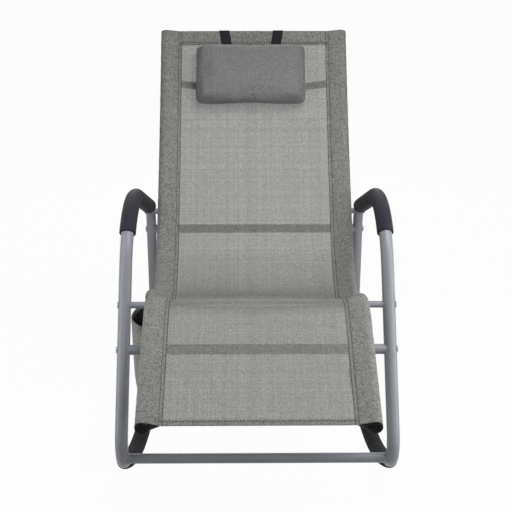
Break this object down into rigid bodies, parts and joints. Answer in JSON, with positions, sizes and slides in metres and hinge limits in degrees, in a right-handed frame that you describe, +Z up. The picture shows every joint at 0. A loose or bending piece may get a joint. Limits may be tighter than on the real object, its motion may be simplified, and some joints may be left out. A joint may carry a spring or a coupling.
{
  "type": "outdoor rocking chair",
  "caption": "Outdoor rocking lounge chair: bent tube side frames on curved runners carry a full-length mesh sling with a headrest pillow and a side pocket.",
  "frame": {"origin": "on the floor, under the middle of the chair's box", "axes": "+Z up, -Y is the way the sitter faces, +X is to the right of a viewer who stands in front of the chair"},
  "size_m": [0.6118, 1.2158, 0.9007],
  "materials": {
    "frame_paint": "satin",
    "zinc_fasteners": "satin",
    "arm_foam": "matte",
    "runner_rubber": "matte",
    "black_plastic": "satin",
    "sling_mesh": "matte",
    "pillow_cover": "matte",
    "black_webbing": "matte"
  },
  "bodies": {
    "chair": {"arm_bolt_left": "zinc_fasteners", "arm_bolt_right": "zinc_fasteners", "arm_grip_left": "arm_foam", "arm_grip_right": "arm_foam", "arm_nut_left": "zinc_fasteners", "arm_nut_right": "zinc_fasteners", "arm_spacer_left": "frame_paint", "arm_spacer_right": "frame_paint", "front_cross_bar": "frame_paint", "front_cross_bar_bolt_left": "zinc_fasteners", "front_cross_bar_bolt_right": "zinc_fasteners", "front_cross_bar_insert_left": "zinc_fasteners", "front_cross_bar_insert_right": "zinc_fasteners", "front_floor_bar": "frame_paint", "head_spreader_bar": "frame_paint", "knee_bolt_left": "zinc_fasteners", "knee_bolt_right": "zinc_fasteners", "knee_nut_left": "zinc_fasteners", "knee_nut_right": "zinc_fasteners", "knee_spacer_left": "frame_paint", "knee_spacer_right": "frame_paint", "pillow_strap_left": "black_webbing", "pillow_strap_right": "black_webbing", "rail_foot_cap_left": "black_plastic", "rail_foot_cap_right": "black_plastic", "rail_head_plug_left": "black_plastic", "rail_head_plug_right": "black_plastic", "rear_cross_bar": "frame_paint", "rear_cross_bar_bolt_left": "zinc_fasteners", "rear_cross_bar_bolt_right": "zinc_fasteners", "rear_cross_bar_insert_left": "zinc_fasteners", "rear_cross_bar_insert_right": "zinc_fasteners", "rear_tube_left": "frame_paint", "rear_tube_right": "frame_paint", "runner_sleeve_left": "runner_rubber", "runner_sleeve_right": "runner_rubber", "seat_rail_left": "frame_paint", "seat_rail_right": "frame_paint", "side_pocket": "sling_mesh", "side_tube_left": "frame_paint", "side_tube_right": "frame_paint", "sling": "sling_mesh", "strap_buckle_left": "black_plastic", "strap_buckle_right": "black_plastic"},
    "headrest": {"headrest_pillow": "pillow_cover"}
  },
  "joints": [
    {"name": "headrest_slide", "type": "slide", "parent": "chair", "child": "headrest", "axis": [0, 0.58, 0.8146], "range_m": [-0.035, 0.02]}
  ]
}
